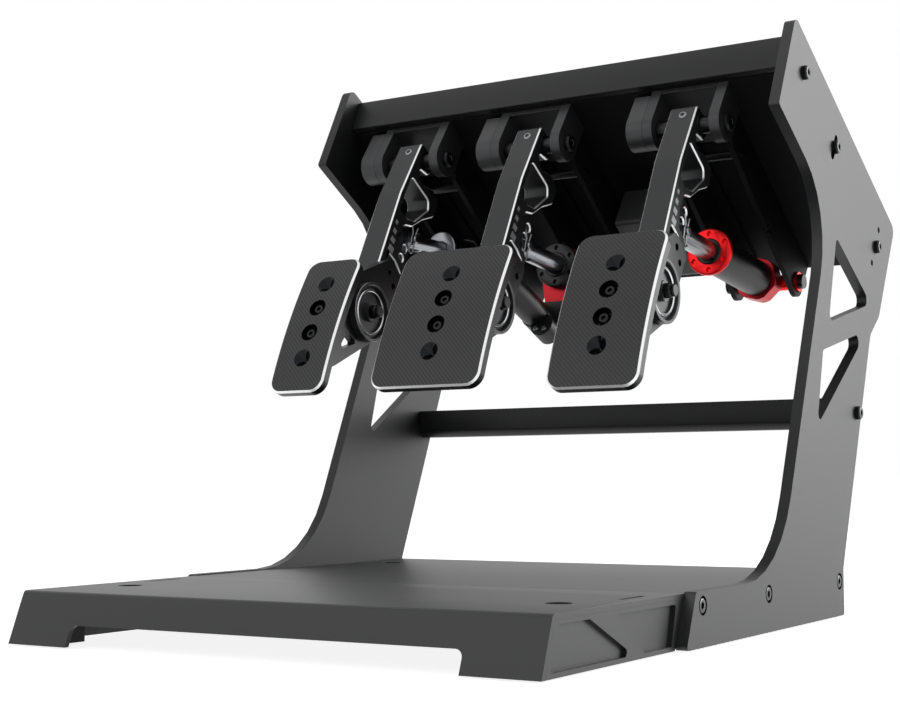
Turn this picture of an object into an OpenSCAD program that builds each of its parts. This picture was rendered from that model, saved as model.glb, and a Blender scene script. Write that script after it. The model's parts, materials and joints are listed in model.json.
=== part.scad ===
// Sim racing pedal set: clutch, brake and throttle hang under a sloping panel, between two plate-cut
// side frames that stand on a low deck for the driver's heels.
// X runs to the right, Y to the back, Z up from the floor. Depths are measured from the front edge.
// Under the panel, u runs down the panel to the back and v is the distance below its middle plane.

/* [Stand] */
// Width over the two side plates
overall_w = 500; // [440:1:600]
// Thickness of each side plate
plate_t = 10; // [6:0.5:12]
// Height of the metal above the floor, which the rubber feet take up
foot_gap = 1.5; // [1:0.1:3]
// Radius of the tilt holes' arc in the side plate
tilt_r = 238.4; // [230:0.1:245]
// Angle between two tilt holes
tilt_step = 5.2; // [4.5:0.1:6]
// Clearance between plates and what stands between them
fit_gap = 0.2; // [0.1:0.05:0.4]

/* [Deck] */
// Depth of the whole deck
deck_l = 556; // [530:1:580]
// Height of the deck's top face
deck_h = 42.6; // [38:0.1:48]
// Depth of the front deck, up to the seam
front_deck_l = 222.9; // [215:0.1:230]
// Sheet thickness of both decks
sheet_t = 4; // [3:0.5:5]
// Run of the slanted apron
apron_run = 16.7; // [12:0.1:22]
// Width of the notch in the apron
notch_w = 358; // [300:1:380]
// Height of the notch in the apron
notch_h = 18; // [12:0.5:22]
// Distance between the deck's left and right mounting holes
deck_hole_x = 404; // [380:1:410]
// Depth of the front pair of mounting holes
deck_hole_front = 96.5; // [80:0.5:110]
// Depth of the rear pair of mounting holes
deck_hole_rear = 479.5; // [460:0.5:495]
// Radius of the deck's mounting holes
deck_hole_r = 5.25; // [4:0.05:6]
// Thickness of the deck's side rails
rail_t = 8; // [6:0.5:9]
// Depth of the pockets in the side rails
pocket_deep = 3.5; // [2:0.5:4]
// Height of the bolts that hold the rear deck
deck_bolt_z = 32.8; // [31:0.1:34]

/* [Side plate] */
// Depth at which the plate's toe starts on the floor
toe_d = 203.3; // [195:0.1:210]
// Height of the foot of the plate
foot_h = 43.7; // [40:0.1:50]
// Depth at which the front leg line meets the foot
leg_d = 394.5; // [380:0.5:410]
// Radius between the foot and the front leg
leg_r = 115; // [60:1:130]
// Reach of the plate in front of the panel's first bolt
head_front = 41.4; // [34:0.1:46]
// Reach of the plate behind the panel's first bolt
head_back = 282; // [275:0.5:290]
// Rise of the plate above the panel at the front
head_rise = 30.4; // [25:0.1:36]
// Drop of the plate below the panel at the front
head_drop = 68.9; // [60:0.1:75]

/* [Cross bar] */
// Depth of the cross bar's front face
bar_d = 592.5; // [588:0.5:597]
// Height of the cross bar's underside
bar_z = 174; // [170:0.5:180]
// Cross bar, front to back
bar_run = 25; // [20:0.5:30]
// Cross bar, bottom to top
bar_h = 29; // [24:0.5:34]
// Chamfer along the cross bar's lower front edge
bar_chamfer = 7; // [4:0.5:9]

/* [Panel] */
// Slope of the panel, down towards the back
panel_slope = 34.65; // [32:0.05:37]
// Depth of the panel's first bolt
panel_d = 481.3; // [475:0.1:487]
// Height of the panel's first bolt
panel_z = 491.9; // [480:0.1:500]
// Thickness of the panel
panel_t = 10; // [8:0.5:12]
// Length of the panel behind its first bolt
panel_l = 256; // [250:0.5:262]
// Height of the fascia along the front
fascia_h = 34.6; // [28:0.1:38]
// Thickness of the fascia
fascia_t = 8; // [5:0.5:9]

/* [Pedal places] */
// Sideways place of the clutch
clutch_x = -160; // [-168:0.5:-150]
// Sideways place of the brake
brake_x = -20.8; // [-30:0.1:-15]
// Sideways place of the throttle
throttle_x = 143.5; // [138:0.5:150]

/* [Pedal bracket] */
// Distance of the pivot behind the panel's first bolt
pivot_u = 8; // [6:0.1:10]
// Distance of the pivot below the panel's middle plane
pivot_v = 43.5; // [40:0.1:48]
// Gap between the two cheeks
cheek_gap = 57; // [52:0.5:60]
// Thickness of each cheek
cheek_t = 10; // [8:0.5:12]
// Radius of the cheeks round the pivot
cheek_r = 17.5; // [15:0.1:19]
// Thickness of the bracket's base
base_t = 5; // [4:0.5:8]
// Thickness of the long side plates
rail_plate_t = 5; // [3:0.5:6]
// Radius of the long side plates round the rear pin
rail_end_r = 15; // [12:0.5:16]
// Width of the position sensor's housing
sensor_w = 16.5; // [12:0.5:18]
// Radius of the pivot pin
pivot_r = 6; // [5:0.5:7]
// Radius of the rear pins
rear_pin_r = 5; // [4:0.5:6]
// Running clearance of every pin, on the radius
pin_gap = 0.05; // [0.02:0.01:0.1]

/* [Arm] */
// Width of the arm
arm_w = 26.5; // [22:0.5:30]
// Length of the arm, from the pivot to its lower end
arm_l = 162.5; // [155:0.5:170]
// Thickness of the tongue with the clevis holes
tongue_t = 8; // [6:0.5:9]
// Distance between two clevis holes
hole_pitch = 12; // [11:0.5:13]
// Radius of the clevis pins
clevis_r = 4; // [3:0.5:4.5]

/* [Pad] */
// Width of the clutch pad
clutch_pad_w = 60; // [50:0.5:75]
// Width of the brake pad
brake_pad_w = 113; // [90:0.5:120]
// Width of the throttle pad
throttle_pad_w = 84.5; // [60:0.5:90]
// Length of the clutch and brake pads
pad_l = 146; // [140:0.5:155]
// Length of the throttle pad
throttle_pad_l = 153; // [146:0.5:165]
// Thickness of the pads
pad_t = 9.5; // [7:0.5:12]
// Radius of the pads' curve
pad_r = 545; // [400:1:700]
// Radius of the pads' corners
pad_corner = 13; // [8:0.5:16]
// Chamfer round the front of the pads
pad_chamfer = 2.4; // [1:0.1:3]
// Distance between two holes in a pad
pad_hole_pitch = 27; // [24:0.5:28]
// Radius of the holes in a pad's face
pad_hole_r = 8.8; // [7:0.1:9.5]
// Thickness of the pad bracket's plate and foot
bracket_t = 9; // [6:0.5:10]

/* [Vibration motor] */
// Outer radius of the vibration motor
motor_r = 28.4; // [24:0.1:30]
// Depth of the vibration motor
motor_t = 8; // [6:0.5:12]

/* [Damper] */
// Distance of the throttle's and brake's rear pin behind the panel's first bolt
rear_u = 236; // [230:0.5:240]
// Distance of the clutch's rear pin behind the panel's first bolt
clutch_rear_u = 150; // [145:0.5:155]
// Radius of the fork's turned bar
fork_r = 9.5; // [9:0.5:12]
// Radius of the clutch's rod behind its fork
clutch_rod_r = 7; // [6:0.5:8]
// Radius of the large damper tubes
tube_r = 18; // [16:0.5:20]
// Radius of the clutch's damper tube
clutch_tube_r = 13.5; // [12:0.5:15]
// Wall of the damper tubes
tube_wall = 2.5; // [2:0.1:3]
// Radius of the large flanges
flange_r = 22.5; // [21:0.5:25]
// Radius of the clutch's ring nut
clutch_flange_r = 17.5; // [16.5:0.5:19]
// Thickness of the flanges
flange_t = 8; // [6:0.5:10]
// Distance from the clevis pin to the front of the large flanges
flange_at = 76; // [70:0.5:82]
// Distance from the clevis pin to the front of the clutch's ring nut
clutch_flange_at = 67; // [62:0.5:68]
// Length of the large end caps
cap_l = 18; // [14:0.5:22]
// Length of the clutch's end cap
clutch_cap_l = 5; // [4:0.5:8]
// Thickness of the pistons
piston_t = 5; // [4:0.5:6]
// Running clearance of the pistons and rods, on the radius
piston_gap = 0.1; // [0.05:0.01:0.2]

/* [Hidden] */
PEDALS = ["clutch", "brake", "throttle"];
FRAME_PIECES = ["bracket", "side_plates", "sensor"];
ARM_PIECES = ["arm", "bushes", "pad_bracket", "pad", "haptic", "clevis_pin", "pad_screws"];
DAMPER_PIECES = ["cylinder", "flange", "end_cap", "spring", "rod"];

$fn = 48;
fine = 720;
eps = 0.01;

// Colours
black_coat = "#3a3b3d";
black_metal = "#2b2c2e";
dark_metal = "#232425";
silver = "#c9cbcd";
red_metal = "#b3202a";
carbon = "#4b4c4e";
rubber_black = "#1c1c1d";

// Outlines with rounded corners

function unit(v) = v / norm(v);

// The arc that rounds corner b between a and c, with no more radius than they leave room for
function corner_arc(a, b, c, wanted, steps) =
  let (ua = unit(a - b), uc = unit(c - b))
  let (half = acos(ua * uc) / 2)
  let (r = min(wanted, 0.5 * min(norm(a - b), norm(c - b)) * tan(half)))
  let (mid = b + unit(ua + uc) * r / sin(half))
  let (s = b + ua * r / tan(half) - mid, e = b + uc * r / tan(half) - mid)
  let (a0 = atan2(s.y, s.x), sweep = ((atan2(e.y, e.x) - a0 + 900) % 360) - 180)
  r < 0.05 ? [b] : [for (i = [0 : steps]) let (a = a0 + sweep * i / steps) mid + r * [cos(a), sin(a)]];

// An outline from corners that are each [across, up, radius]
function rounded(corners, steps = 6) =
  let (n = len(corners), p = [for (c = corners) [c.x, c.y]])
  [for (i = [0 : n - 1]) each corner_arc(p[(i + n - 1) % n], p[i], p[(i + 1) % n], corners[i].z, steps)];

// Where a line from p touches the circle of radius r round c
function touch(p, c, r, side) =
  let (d = norm(c - p), a = atan2(c.y - p.y, c.x - p.x) + side * asin(r / d))
  p + sqrt(d * d - r * r) * [cos(a), sin(a)];

// Turns a place below the panel, [u, v, radius], into an outline's [across, up, radius]
function hang(corners) = [for (c = corners) [c.x, -c.y, c.z]];

// Extrudes an outline of the Y-Z plane along X, from x0 to x1
module slab(x0, x1, points) {
  translate([x0, 0, 0]) rotate([90, 0, 90]) linear_extrude(x1 - x0) polygon(points);
}

// A round bar along X through the Y-Z place at
module bar(x0, x1, at, r) {
  translate([x0, at.x, at.y]) rotate([0, 90, 0]) cylinder(r = r, h = x1 - x0);
}

// A turned piece along X through the Y-Z place at, from points that are each [radius, x]
module turned(at, points) {
  translate([0, at.x, at.y]) rotate([0, 90, 0]) rotate_extrude() polygon(points);
}

// Places on the stand

half_w = overall_w / 2;
inner_w = half_w - plate_t;
between = inner_w - fit_gap;
cs = cos(panel_slope);
sn = sin(panel_slope);

// Depth and height of a place below the panel
function under(u, v) = [panel_d + u * cs - v * sn, panel_z - u * sn - v * cs];
function corner(at, r) = [at.x, at.y, r];

heel_d = deck_l;
head_back_rise = 57.1;
head_back_drop = 87.5;
neck_u = 116;
neck_v = 59.5;
plate_points = rounded([
  [toe_d, foot_gap, 3],
  [toe_d + 19.2, foot_h, 4],
  [leg_d, foot_h, leg_r],
  corner(under(neck_u, neck_v), 80),
  corner(under(-head_front + 11.9, head_drop), 3),
  corner(under(-head_front, -head_rise), 8),
  corner(under(head_back - 6, -head_back_rise), 9),
  corner(under(head_back, head_back_drop - 33.3), 15),
  corner(under(head_back - 12.2, head_back_drop), 15),
  [heel_d, foot_h, 8],
  [heel_d - 0.5, foot_gap, 3]
]);
overall_depth = max([for (p = plate_points) p.x]);

upper_window = rounded([
  corner(under(143.9, 70.6), 5),
  [533, 270, 6],
  corner(under(255, 60.1), 7)
]);
lower_window = rounded([
  [515.5, 243.3, 5],
  [495, 173.2, 5],
  [644.9, 270.8, 7]
]);

// Bolts through the side plates, as [depth, height]
deck_bolts = [
  for (d = [toe_d + 31.2, (toe_d + deck_l) / 2 - 10.15, deck_l - 11.5]) [d, deck_bolt_z]
];
bar_bolt = [bar_d + bar_run / 2, bar_z + bar_h / 2];
slot_u = 96;
front_bolt = under(0, 0);
slot_bolt = under(slot_u, 0);
rear_bolt = under(tilt_r, 0);
m6_r = 3;
bolt_gap = 0.1;
bolt_head_r = 6.5;
bolt_head_h = 5;
recess_r = 7.5;

module on_stand() {
  translate([0, -overall_depth / 2, 0]) children();
}

module on_panel() {
  on_stand() translate([0, panel_d, panel_z]) rotate([-panel_slope, 0, 0]) children();
}

pedal_x = [clutch_x, brake_x, throttle_x];
module on_pedal(i) {
  on_panel() translate([pedal_x[i], 0, 0]) children();
}

// Side plates

module side_plate(side) {
  x0 = side > 0 ? inner_w : -half_w;
  outer_x = side > 0 ? half_w - bolt_head_h : -half_w - eps;
  on_stand() color(black_coat) difference() {
    slab(x0, x0 + plate_t, plate_points);
    slab(x0 - 1, x0 + plate_t + 1, upper_window);
    slab(x0 - 1, x0 + plate_t + 1, lower_window);
    for (at = deck_bolts) {
      bar(x0 - 1, x0 + plate_t + 1, at, m6_r + bolt_gap);
      bar(outer_x, outer_x + bolt_head_h + eps, at, recess_r);
    }
    bar(x0 - 1, x0 + plate_t + 1, bar_bolt, m6_r + bolt_gap);
    bar(x0 - 1, x0 + plate_t + 1, front_bolt, m6_r + bolt_gap);
    for (step = [-1 : 1]) {
      bar(x0 - 1, x0 + plate_t + 1, under(tilt_r * cos(step * tilt_step), tilt_r * sin(step * tilt_step)),
        m6_r + bolt_gap);
    }
    tilt_slot(x0 - 1, x0 + plate_t + 1);
  }
}

// The straight slot that lets the panel's middle bolt follow the tilt
module tilt_slot(x0, x1) {
  reach = slot_u * sin(tilt_step) + 1.5;
  r = m6_r + 1.2;
  for (end = [-reach, reach]) bar(x0, x1, under(slot_u, end), r);
  slab(x0, x1, [under(slot_u - r, -reach), under(slot_u + r, -reach), under(slot_u + r, reach),
    under(slot_u - r, reach)]);
}

module left_side_plate() {
  side_plate(-1);
}

module right_side_plate() {
  side_plate(1);
}

// Deck

deck_half = inner_w + 1;
rail_half = deck_half;
rail_in = rail_half - rail_t;
apron_slope = deck_h / apron_run;
apron_shift = sheet_t * norm([apron_run, deck_h]) / deck_h;
under_sheet = deck_h - sheet_t;
seam_gap = 0.5;
countersink_r = 10;
countersink_h = 2;

// Depth of the apron's inner face at height z
function apron_in(z) = z / apron_slope + apron_shift;

module deck_holes(depths) {
  for (side = [-1, 1]) for (d = depths) translate([side * deck_hole_x / 2, d, 0]) {
    translate([0, 0, deck_h - sheet_t - 1]) cylinder(r = deck_hole_r, h = sheet_t + 2);
    translate([0, 0, deck_h - countersink_h]) cylinder(r = countersink_r, h = countersink_h + 1);
  }
}

slot_from = 144.5;
slot_to = 183.5;
slot_x = 225;
slot_r = 2.5;

module deck_slots() {
  for (side = [-1, 1]) {
    for (d = [slot_from + slot_r, slot_to - slot_r]) {
      translate([side * slot_x, d, under_sheet - 1]) cylinder(r = slot_r, h = sheet_t + 2);
    }
    translate([side * slot_x - slot_r, slot_from + slot_r, under_sheet - 1]) {
      cube([2 * slot_r, slot_to - slot_from - 2 * slot_r, sheet_t + 2]);
    }
  }
}

module front_deck() {
  foot = foot_gap / apron_slope;
  profile = rounded([
    [foot, foot_gap, 0],
    [apron_run, deck_h, 4],
    [front_deck_l, deck_h, 0],
    [front_deck_l, under_sheet, 0],
    [apron_in(under_sheet), under_sheet, 1],
    [foot + apron_shift, foot_gap, 0]
  ]);
  notch = rounded([[-notch_w / 2, foot_gap - 10, 0], [-notch_w / 2, notch_h, 6], [notch_w / 2, notch_h, 6],
    [notch_w / 2, foot_gap - 10, 0]]);
  on_stand() color(black_coat) difference() {
    slab(-deck_half, deck_half, profile);
    translate([0, apron_run + 10, 0]) rotate([90, 0, 0]) linear_extrude(apron_run + 20) polygon(notch);
    deck_holes([deck_hole_front]);
    deck_slots();
  }
}

flange_foot = 8;
tongue_half = 200;
tongue_from = 195;
tongue_to = 245;

module rear_deck() {
  start = front_deck_l + seam_gap;
  end = deck_l - 0.5;
  on_stand() color(black_coat) difference() {
    union() {
      translate([-between, start, under_sheet]) cube([2 * between, end - start, sheet_t]);
      for (side = [-1, 1]) {
        translate([side > 0 ? between - sheet_t : -between, start, flange_foot]) {
          cube([sheet_t, end - start, deck_h - flange_foot]);
        }
      }
      translate([-tongue_half, tongue_from, under_sheet - sheet_t]) {
        cube([2 * tongue_half, tongue_to - tongue_from, sheet_t]);
      }
    }
    deck_holes([deck_hole_rear]);
    for (at = deck_bolts) bar(-half_w, half_w, at, m6_r + bolt_gap);
  }
}

// The two triangular pockets in a rail, as [depth, height, radius]
first_pocket = rounded([[12, 5, 2], [24, 35.4, 2], [68, 35.4, 3], [124, 9.7, 4], [121, 5, 2]]);
second_pocket = rounded([[101, 35.4, 3], [206, 35.4, 2], [197, 5, 2], [151.5, 5, 3]]);

module deck_rails() {
  outline = [
    [apron_in(foot_gap), foot_gap],
    [apron_in(under_sheet), under_sheet],
    [front_deck_l - 2, under_sheet],
    [toe_d - 1, foot_gap]
  ];
  on_stand() color(black_coat) for (side = [-1, 1]) difference() {
    slab(side > 0 ? rail_in : -rail_half, side > 0 ? rail_half : -rail_in, outline);
    for (pocket = [first_pocket, second_pocket]) {
      x0 = side > 0 ? rail_half - pocket_deep : -rail_half - 1;
      slab(x0, x0 + pocket_deep + 1, pocket);
    }
  }
}

rubber_w = 22;
rubber_l = 30;
rubber_h = 20;

module deck_feet() {
  places = [[rail_in, 24], [between - sheet_t, deck_l - 48]];
  on_stand() color(rubber_black) for (side = [-1, 1]) for (p = places) {
    translate([side > 0 ? p.x - rubber_w : -p.x, p.y, 0]) cube([rubber_w, rubber_l, rubber_h]);
  }
}

// Bars and panel between the side plates

// Depth of the tapped holes in the bars between the side plates
tap_l = 20;

module cross_bar() {
  outline = [[bar_d + bar_chamfer, bar_z], [bar_d + bar_run, bar_z], [bar_d + bar_run, bar_z + bar_h],
    [bar_d, bar_z + bar_h], [bar_d, bar_z + bar_chamfer]];
  on_stand() color(black_coat) difference() {
    slab(-between, between, outline);
    for (x0 = [-between - 1, between - tap_l]) bar(x0, x0 + tap_l + 1, bar_bolt, m6_r);
  }
}

fascia_lean = 9.5;
fascia_foot = [-17, 5.7];

module front_fascia() {
  foot = [fascia_foot.x, -fascia_foot.y];
  rise = fascia_h * [-sin(fascia_lean), cos(fascia_lean)];
  back = fascia_t * [cos(fascia_lean), sin(fascia_lean)];
  points = [foot, foot + rise, foot + rise + back, foot + back];
  on_panel() color(black_coat) slab(-between, between, rounded([for (p = points) corner(p, 1.2)], 3));
}

// The panel starts right behind the fascia, which leans over its front edge
panel_front = fascia_foot.x + fascia_t / cos(fascia_lean) + 0.3;
screw_gap = 0.3;
cheek_mid = cheek_gap / 2 + cheek_t / 2;
cheek_screws = [-1, 18];
plate_screws = [82, 222];
plate_screw_x = cheek_gap / 2 - 6;

module panel_screw_places() {
  for (x = pedal_x) for (side = [-1, 1]) {
    for (u = cheek_screws) translate([x + side * cheek_mid, u, 0]) children();
    for (u = plate_screws) translate([x + side * plate_screw_x, u, 0]) children();
  }
}

module mount_panel() {
  on_panel() color(black_coat) difference() {
    translate([-between, panel_front, -panel_t / 2]) cube([2 * between, panel_l - panel_front, panel_t]);
    for (u = [0, slot_u, tilt_r]) for (side = [-1, 1]) {
      bar(side > 0 ? between - 25 : -between - 1, side > 0 ? between + 1 : 25 - between, [u, 0], m6_r);
    }
    panel_screw_places() translate([0, 0, -panel_t]) cylinder(r = m6_r + screw_gap, h = 2 * panel_t);
  }
}

// A button-head bolt along X that points inwards from the right side plate's outer face
module plate_bolt(at, shank_r, head_x, length) {
  difference() {
    turned(at, [
      [0, head_x - length], [shank_r - 0.02, head_x - length], [shank_r - 0.02, head_x],
      [bolt_head_r, head_x], [bolt_head_r, head_x + bolt_head_h - 1.5], [bolt_head_r - 1.5, head_x + bolt_head_h],
      [0, head_x + bolt_head_h]
    ]);
    translate([head_x + 1.5, at.x, at.y]) rotate([0, 90, 0]) cylinder(r = 3, h = bolt_head_h, $fn = 6);
  }
}

nut_r = 5.77;
nut_h = 5;

module hex_nut(at, x0) {
  difference() {
    translate([x0, at.x, at.y]) rotate([0, 90, 0]) rotate([0, 0, 30]) {
      cylinder(r = nut_r, h = nut_h, $fn = 6);
    }
    bar(x0 - 1, x0 + nut_h + 1, at, m6_r);
  }
}

panel_screw_h = 6;
panel_screw_r = 5;

module frame_bolts() {
  color(dark_metal) for (side = [0, 1]) mirror([side, 0, 0]) on_stand() {
    for (at = deck_bolts) {
      plate_bolt(at, m6_r, half_w - bolt_head_h, 21);
      hex_nut(at, between - sheet_t - nut_h - 0.1);
    }
    for (at = [bar_bolt, front_bolt, slot_bolt, rear_bolt]) plate_bolt(at, m6_r, half_w, 28);
  }
  color(dark_metal) on_panel() panel_screw_places() difference() {
    union() {
      translate([0, 0, -panel_t / 2 - 4]) cylinder(r = m6_r - 0.02, h = panel_t + 4.5);
      translate([0, 0, panel_t / 2]) cylinder(r = panel_screw_r, h = panel_screw_h);
    }
    translate([0, 0, panel_t / 2 + 2.5]) cylinder(r = 2.9, h = panel_screw_h, $fn = 6);
  }
}

// Control box under the panel, with its socket at the back

box_from = 118;
box_to = 205;
box_left = 24;
box_right = 84;
box_h = 45;
socket_w = 12;
socket_h = 11;
socket_deep = 10;

module control_box() {
  top = -panel_t / 2;
  low = top - box_h;
  outline = rounded([[box_from, top, 1], [box_to, top, 1], [box_to, low, 4], [box_from, low, 4]]);
  on_panel() color(black_metal) difference() {
    slab(box_left, box_right, outline);
    translate([(box_left + box_right - socket_w) / 2, box_to - socket_deep, top - 28]) {
      cube([socket_w, socket_deep + 1, socket_h]);
    }
  }
}

// Bracket, side plates and sensor of one pedal

pivot = [pivot_u, -pivot_v];
cheek_in = cheek_gap / 2;
cheek_out = cheek_in + cheek_t;
under_panel = -panel_t / 2;
front_edge = pivot_u - cheek_r;

module cheek_shape(x0, x1, top) {
  back_edge = pivot_u + cheek_r;
  slab(x0, x1, rounded([
    [front_edge + 1, top, 2], [back_edge, top, 2], [back_edge, pivot.y, 0], [front_edge, pivot.y, 0]
  ]));
  bar(x0, x1, pivot, cheek_r);
}

base_l = 60;

module bracket() {
  color(black_metal) difference() {
    union() {
      cheek_shape(-cheek_out, -cheek_in, under_panel);
      cheek_shape(cheek_in, cheek_out, under_panel);
      translate([-cheek_out, front_edge + 1.5, under_panel - base_t]) {
        cube([2 * cheek_out, 2 * cheek_r - 1.5, base_t]);
      }
      translate([fit_gap - cheek_in, pivot_u, under_panel - base_t]) {
        cube([2 * (cheek_in - fit_gap), base_l - pivot_u, base_t]);
      }
    }
    bar(-cheek_out - 1, cheek_out + 1, pivot, pivot_r + pin_gap);
    for (side = [-1, 1]) for (u = cheek_screws) translate([side * cheek_mid, u, under_panel - 6]) {
      cylinder(r = m6_r, h = 7);
    }
  }
}

rail_front = 30;
lip_w = 12;
lip_t = 4;
lip_from = 64;
spacer_at = [58, -34];
spacer_r = 4;
spacer_spigot_r = 2.5;
rear_pin_v = 41;
clutch_pin_v = 45;
rail_holes = [[rear_u, -rear_pin_v], [clutch_rear_u, -clutch_pin_v]];

module side_plates() {
  nose = [40, -42];
  end = [rear_u, -rear_pin_v];
  low = touch(nose, end, rail_end_r, -1);
  back = end.x + rail_end_r;
  body = [
    [rail_front, under_panel], [rail_front + 4, -36], nose, low, end, [back, end.y], [back + 1, under_panel]
  ];
  color(black_metal) for (side = [-1, 1]) difference() {
    x0 = side > 0 ? cheek_in : -cheek_in - rail_plate_t;
    union() {
      slab(x0, x0 + rail_plate_t, body);
      bar(x0, x0 + rail_plate_t, end, rail_end_r);
      translate([side > 0 ? cheek_in - lip_w : -cheek_in - eps, lip_from, under_panel - lip_t]) {
        cube([lip_w + eps, end.x - lip_from, lip_t]);
      }
    }
    for (at = rail_holes) bar(x0 - 1, x0 + rail_plate_t + 1, at, rear_pin_r + pin_gap);
    bar(x0 - 1, x0 + rail_plate_t + 1, spacer_at, spacer_spigot_r + pin_gap);
    for (u = plate_screws) translate([side * plate_screw_x, u, under_panel - lip_t - 1]) {
      cylinder(r = m6_r, h = lip_t + 2);
    }
  }
}

module sensor() {
  color(black_metal) cheek_shape(-cheek_out - sensor_w, -cheek_out, under_panel - base_t);
}

// Pins that run across the pedals

module pivot_pins() {
  color(dark_metal) for (i = [0 : 2]) on_pedal(i) difference() {
    turned(pivot, [
      [0, -cheek_out + 0.2], [pivot_r, -cheek_out + 0.2], [pivot_r, cheek_out], [8.5, cheek_out],
      [8.5, cheek_out + 3.5], [7, cheek_out + 5], [0, cheek_out + 5]
    ]);
    translate([cheek_out + 2, pivot.x, pivot.y]) rotate([0, 90, 0]) cylinder(r = 3.4, h = 4, $fn = 6);
  }
}

rail_out = cheek_in + rail_plate_t;
washer_r = 10;
washer_t = 2.5;
end_nut_l = 5;
end_nut_r = 7.5;
collar_r = 8;
eye_half = 8;

function rear_at(i) = i == 0 ? rail_holes[1] : rail_holes[0];

module rear_pins() {
  color(red_metal) for (i = [0 : 2]) on_pedal(i) {
    nut = rail_out + washer_t;
    collar = eye_half + 0.3;
    turned(rear_at(i), [
      [0, -nut - end_nut_l], [end_nut_r, -nut - end_nut_l], [end_nut_r, -nut], [washer_r, -nut],
      [washer_r, -rail_out], [rear_pin_r, -rail_out], [rear_pin_r, 0.2 - cheek_in],
      [collar_r, 0.2 - cheek_in], [collar_r, -collar], [rear_pin_r, -collar], [rear_pin_r, collar], [collar_r, collar],
      [collar_r, cheek_in - 0.2], [rear_pin_r, cheek_in - 0.2], [rear_pin_r, rail_out], [washer_r, rail_out],
      [washer_r, nut], [end_nut_r, nut], [end_nut_r, nut + end_nut_l], [0, nut + end_nut_l]
    ]);
  }
}

module spacer_rods() {
  half = cheek_in - 0.1;
  color(silver) for (i = [0 : 2]) on_pedal(i) turned(spacer_at, [
    [0, -rail_out - 3], [4.5, -rail_out - 3], [4.5, -rail_out], [spacer_spigot_r, -rail_out],
    [spacer_spigot_r, -half], [spacer_r, -half], [spacer_r, half], [spacer_spigot_r, half],
    [spacer_spigot_r, rail_out], [4.5, rail_out], [4.5, rail_out + 3], [0, rail_out + 3]
  ]);
}

// Arm of one pedal

hub_r = 8;
arm_end = pivot_v + arm_l;
clevis_u = 40;
clevis_low = 145;
clevis_rows = [for (k = [0 : 2]) clevis_low - k * hole_pitch];

arm_points = rounded(hang([
  [-7.5, 30, 5], [22, 30, 12], [22, 51, 8], [4, 57, 2], [16, 66.5, 10], [36, 57, 5], [51, 60, 8],
  [53, 79, 10], [38, 97, 10], [28, 115, 6], [16.5, 123, 5], [16.5, 141, 8], [25, 156.5, 6], [36, 156.5, 4], [43.5, 162, 5],
  [42, 196, 6], [36, arm_end, 4], [5.5, arm_end, 2], [-7.5, 100, 60]
]));
arm_windows = [
  rounded(hang([[0, 73, 3], [35, 72.5, 6], [40, 81, 5], [27, 108, 5], [15, 114, 5], [1, 114, 3]])),
  rounded(hang([[9, 164, 3], [24, 164, 3], [38, 168, 4], [37, 181, 3], [12, 181, 3]]))
];
tongue_points = rounded(hang([[13, 110, 0], [44, 110, 9], [49, 122, 9], [49, 156, 8], [13, 158, 0]]));

module arm() {
  color(black_metal) difference() {
    union() {
      slab(-arm_w / 2, arm_w / 2, arm_points);
      slab(-tongue_t / 2, tongue_t / 2, tongue_points);
    }
    for (window = arm_windows) slab(-arm_w / 2 - 1, arm_w / 2 + 1, window);
    for (v = clevis_rows) bar(-arm_w / 2 - 1, arm_w / 2 + 1, [clevis_u, -v], clevis_r + pin_gap);
    bar(-arm_w / 2 - 1, arm_w / 2 + 1, pivot, hub_r + pin_gap);
    for (at = lug_screws) bar(0, arm_w / 2 + 1, at, m6_r);
  }
}

bush_face = cheek_in - 0.25;
bush_at = arm_w / 2 + 0.1;
bush_collar_r = 10.5;

module bushes() {
  color(silver) for (side = [0, 1]) mirror([side, 0, 0]) turned(pivot, [
    [pivot_r + pin_gap, 3], [hub_r, 3], [hub_r, bush_at], [bush_collar_r, bush_at],
    [bush_collar_r, bush_at + 2], [hub_r, bush_at + 2], [hub_r, bush_face], [pivot_r + pin_gap, bush_face]
  ]);
}

// Pad, its bracket and the vibration motor

pad_tilt = 7.3;
pad_mid = [-33.2, -286.5];
pad_centre = pad_mid + pad_r * [cos(pad_tilt), sin(pad_tilt)];
pad_back_r = pad_r - pad_t - 0.1;
pad_w = [clutch_pad_w, brake_pad_w, throttle_pad_w];
pad_lengths = [pad_l, pad_l, throttle_pad_l];
pad_top = -pad_l / 2;
pad_holes = [for (k = [0 : 3]) -42.5 + k * pad_hole_pitch];
outer_holes = [pad_holes[0], pad_holes[3]];
screw_holes = [pad_holes[1], pad_holes[2]];
// How much lower the holes sit on each pad than on the clutch's
hole_shift = [0, 0, 3.5];
cone_h = 8.2;
cone_tip_r = 0.8;
screw_seat = 5.5;
screw_head_r = 6;
screw_head_h = 3.3;
degree = 180 / PI;

// Places a child on the pad's face, s below its middle, with its own Z pointing out of the face
module at_pad(s) {
  translate([0, pad_centre.x, pad_centre.y]) rotate([90 + pad_tilt + s / pad_r * degree, 0, 0]) {
    translate([0, 0, pad_r]) children();
  }
}

// A curved slab round the pad's centre: s0 to s1 along the curve, from points that are each [radius, x]
module pad_sweep(s0, s1, points) {
  translate([0, pad_centre.x, pad_centre.y]) rotate([0, 90, 0]) {
    rotate([0, 0, 270 + pad_tilt + s0 / pad_r * degree]) {
      rotate_extrude(angle = (s1 - s0) / pad_r * degree, $fn = fine) polygon(points);
    }
  }
}

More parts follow.
